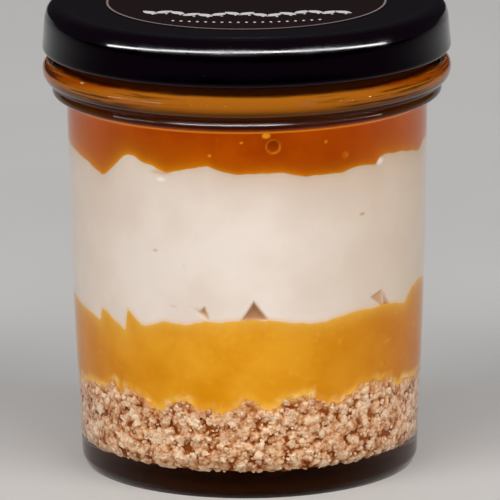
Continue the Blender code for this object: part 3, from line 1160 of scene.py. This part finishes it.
def build_crumbs(name, places, sizes, look, seed):
    draw = np.random.default_rng(seed)
    count = len(places)
    mesh = many_balls(name, count)
    each = len(mesh.vertices) // count
    unit = points_of(mesh)[:each]
    points = kept_in(crumb_shapes(draw, unit, places, sizes), OVER_LINE).reshape(-1, 3)
    mesh.vertices.foreach_set("co", (points * MM).ravel())
    keep_number(mesh, "tone", np.repeat(draw.uniform(0, 1, count), each))
    azimuth = np.degrees(np.arctan2(points[:, 0], -points[:, 1]))
    keep_number(mesh, "over", points[:, 2] - np.interp(azimuth, TABLE, CRUMB_LINE))
    outward = np.hypot(points[:, 0], points[:, 1]) - inner_radius(points[:, 2])
    keep_number(mesh, "depth", outward / CRUMB_RELIEF)
    print(count, "crumbs")
    return placed(mesh, name, look, "crumb_base", "crumb_base")


shake = np.random.default_rng(2024)
near_wall = wall_places(shake, 1.9, 0.35, 0.45, -0.5)
grit = wall_places(shake, 1.2, 0.6, 0.45, -0.3)
near_sizes = shake.uniform(*FAIR_CRUMB, len(near_wall))
pale = shake.uniform(0, 1, len(near_wall)) < PALE_SHARE
pale_crumbs = build_crumbs(
    "crumbs_pale", near_wall[pale], near_sizes[pale],
    crumb_look("pale_biscuit", srgb(216, 162, 116), srgb(247, 212, 176), 0.8), 31,
)
tan_crumbs = build_crumbs(
    "crumbs_tan", near_wall[~pale], near_sizes[~pale],
    crumb_look("tan_biscuit", srgb(186, 122, 72), srgb(232, 180, 134), 0.85), 32,
)
grit_crumbs = build_crumbs(
    "crumbs_grit", grit, shake.uniform(*FINE_CRUMB, len(grit)),
    crumb_look("fine_biscuit", srgb(208, 150, 102), srgb(246, 212, 178), 0.85), 33,
)

# %% [markdown]
# ## Floor, light and camera
#
# The floor is plain and pale. Wide soft lamps light the jar from the front and above, with weaker
# ones over it and behind it. One kind of lamp can't give both soft light and a thin bright line
# on the lid, so narrow strips that show only as reflections stand beside the soft lamps, which
# show in none. Light linking keeps the strips off the lid's flat top, which would turn white to
# anyone who looks from behind. The camera stands where the photograph was taken from, 1.16 m away
# and 0.32 m up, with a very long lens.


# %% The floor
def build_floor():
    look = Finish("pale_floor", Specular_IOR_Level=0.03)
    cloud = look.noise(60.0, detail=3.0)
    material = look.use(
        Base_Color=look.mix(cloud, (0.61, 0.60, 0.59), (0.65, 0.64, 0.63)),
        Roughness=cloud.ramp(0.2, 0.8, 0.55, 0.65),
    )
    bm = bmesh.new()
    bmesh.ops.create_grid(bm, x_segments=8, y_segments=8, size=2.5)
    mesh = as_mesh(bm, "floor")
    mesh.materials.append(material)
    floor = bpy.data.objects.new("floor", mesh)
    bpy.context.scene.collection.objects.link(floor)
    return floor


floor = build_floor()


# %% The lamps
def add_lamp(name, azimuth, elevation, distance, size, watts, lean=0.0):
    """A soft lamp that faces the jar. Azimuth is from the front, positive to the right."""
    light = bpy.data.lights.new(name, "AREA")
    light.shape = "RECTANGLE"
    light.size, light.size_y = size
    light.energy = watts
    lamp = bpy.data.objects.new(name, light)
    a, e = math.radians(azimuth), math.radians(elevation)
    away = Vector((math.sin(a) * math.cos(e), -math.cos(a) * math.cos(e), math.sin(e)))
    lamp.location = Vector((0, 0, 0.045)) + away * distance
    lamp.rotation_mode = "QUATERNION"
    roll = Matrix.Rotation(math.radians(lean), 3, "Z").to_quaternion()
    lamp.rotation_quaternion = away.to_track_quat("Z", "Y") @ roll
    bpy.context.scene.collection.objects.link(lamp)
    return lamp


# The strips light the lid's edge and the glass alone, and leave its flat top dark
mirrors = bpy.data.collections.new("pieces_that_mirror_strips")
for piece in (twist_lid, glass_jar):
    mirrors.objects.link(piece)

# Degrees round, up and leaning: strips that only show as reflections, bowed down at both ends
STRIPS = ((-68, 9, 12), (-34, 15, 7), (0, 17.2, 0), (34, 15, -7), (68, 9, -12))
STRIP_SIZE = (1.33, 0.1)
STRIP_WATTS = 30.0
for azimuth, elevation, lean in STRIPS:
    strip = add_lamp(f"strip_{azimuth}", azimuth, elevation, 2.2, STRIP_SIZE, STRIP_WATTS, lean)
    strip.visible_diffuse = False
    strip.light_linking.receiver_collection = mirrors

# Degrees round, up and watts: wide soft lamps that carry the light itself
SOFT_LAMPS = ((-58, 18, 9.8), (0, 18, 9.8), (58, 18, 9.8), (-45, 48, 16.2), (45, 48, 16.2))
SOFT_SIZE = (1.4, 0.6)
for azimuth, elevation, watts in SOFT_LAMPS:
    soft = add_lamp(f"soft_{azimuth}_{elevation}", azimuth, elevation, 2.1, SOFT_SIZE, watts)
    soft.visible_glossy = False
top = add_lamp("soft_top", 180, 78, 2.0, (2.0, 2.0), 4.0)
top.visible_glossy = False
back = add_lamp("soft_back", 180, 30, 2.1, (2.4, 0.6), 7.0)
back.visible_glossy = False

world = bpy.data.worlds.new("studio")
world.use_nodes = True
world.node_tree.nodes["Background"].inputs["Color"].default_value = (0.9, 0.92, 0.95, 1.0)
world.node_tree.nodes["Background"].inputs["Strength"].default_value = 0.03
bpy.context.scene.world = world
bpy.context.scene.view_settings.view_transform = "Standard"

# %% The camera
# Metres from the jar's axis and over the floor, then degrees down and turned
CAMERA_AWAY = 1.1616
CAMERA_UP = 0.31746
CAMERA_DOWN = 13.584
CAMERA_ROLL = -0.45
CAMERA_SIDE = 0.0003
LENS = 494.83
SENSOR = 36.0

camera_data = bpy.data.cameras.new("camera")
camera_data.lens = LENS
camera_data.sensor_width = SENSOR
camera_data.clip_start = 0.05
camera_data.clip_end = 20.0
camera = bpy.data.objects.new("camera", camera_data)
tilt = Matrix.Rotation(math.radians(90.0 - CAMERA_DOWN), 4, "X")
roll = Matrix.Rotation(math.radians(CAMERA_ROLL), 4, "Z")
camera.matrix_world = Matrix.Translation((CAMERA_SIDE, -CAMERA_AWAY, CAMERA_UP)) @ tilt @ roll
bpy.context.scene.collection.objects.link(camera)
bpy.context.scene.camera = camera
